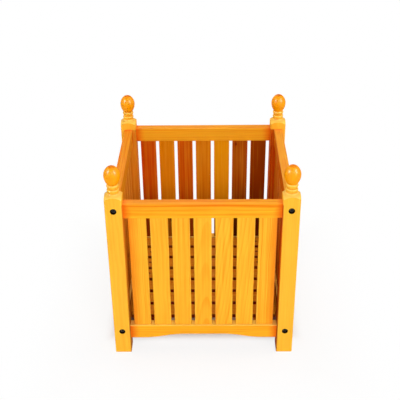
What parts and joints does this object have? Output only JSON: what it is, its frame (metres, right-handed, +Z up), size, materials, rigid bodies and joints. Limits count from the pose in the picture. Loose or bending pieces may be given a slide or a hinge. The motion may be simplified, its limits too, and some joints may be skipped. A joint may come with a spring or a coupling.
{
  "type": "wooden planter",
  "caption": "Square slatted wooden planter box on turned corner posts with ball finials, arched bottom rails, bolted corners and a loose slatted base panel.",
  "frame": {"origin": "on the ground under the middle of the box", "axes": "+Z up, -Y towards the front face as seen in the picture, +X to the right of that face"},
  "size_m": [0.4, 0.4, 0.47],
  "materials": {
    "post_wood": "satin honey stain",
    "ball_wood": "satin honey stain",
    "rail_wood": "satin honey stain",
    "slat_wood": "satin honey stain",
    "base_wood": "satin honey stain",
    "dowel_wood": "raw",
    "bolt_steel": "black oxide",
    "zinc_steel": "zinc plated"
  },
  "bodies": {
    "root": {"back_left_post": "post_wood", "back_right_post": "post_wood", "front_left_post": "post_wood", "front_right_post": "post_wood", "back_left_ball_finial": "ball_wood", "back_right_ball_finial": "ball_wood", "front_left_ball_finial": "ball_wood", "front_right_ball_finial": "ball_wood", "back_bottom_rail": "rail_wood", "back_top_rail": "rail_wood", "front_bottom_rail": "rail_wood", "front_top_rail": "rail_wood", "left_bottom_rail": "rail_wood", "left_top_rail": "rail_wood", "right_bottom_rail": "rail_wood", "right_top_rail": "rail_wood", "back_slat_1": "slat_wood", "back_slat_2": "slat_wood", "back_slat_3": "slat_wood", "back_slat_4": "slat_wood", "back_slat_5": "slat_wood", "back_slat_6": "slat_wood", "back_slat_7": "slat_wood", "front_slat_1": "slat_wood", "front_slat_2": "slat_wood", "front_slat_3": "slat_wood", "front_slat_4": "slat_wood", "front_slat_5": "slat_wood", "front_slat_6": "slat_wood", "front_slat_7": "slat_wood", "left_slat_1": "slat_wood", "left_slat_2": "slat_wood", "left_slat_3": "slat_wood", "left_slat_4": "slat_wood", "left_slat_5": "slat_wood", "left_slat_6": "slat_wood", "left_slat_7": "slat_wood", "right_slat_1": "slat_wood", "right_slat_2": "slat_wood", "right_slat_3": "slat_wood", "right_slat_4": "slat_wood", "right_slat_5": "slat_wood", "right_slat_6": "slat_wood", "right_slat_7": "slat_wood", "base_board_1": "base_wood", "base_board_2": "base_wood", "base_board_3": "base_wood", "base_board_4": "base_wood", "base_board_5": "base_wood", "base_board_6": "base_wood", "base_board_7": "base_wood", "left_base_batten": "base_wood", "right_base_batten": "base_wood", "left_base_cleat": "base_wood", "right_base_cleat": "base_wood", "frame_dowels": "dowel_wood", "frame_bolts": "bolt_steel", "barrel_nuts": "zinc_steel", "base_screws": "zinc_steel"}
  },
  "joints": []
}
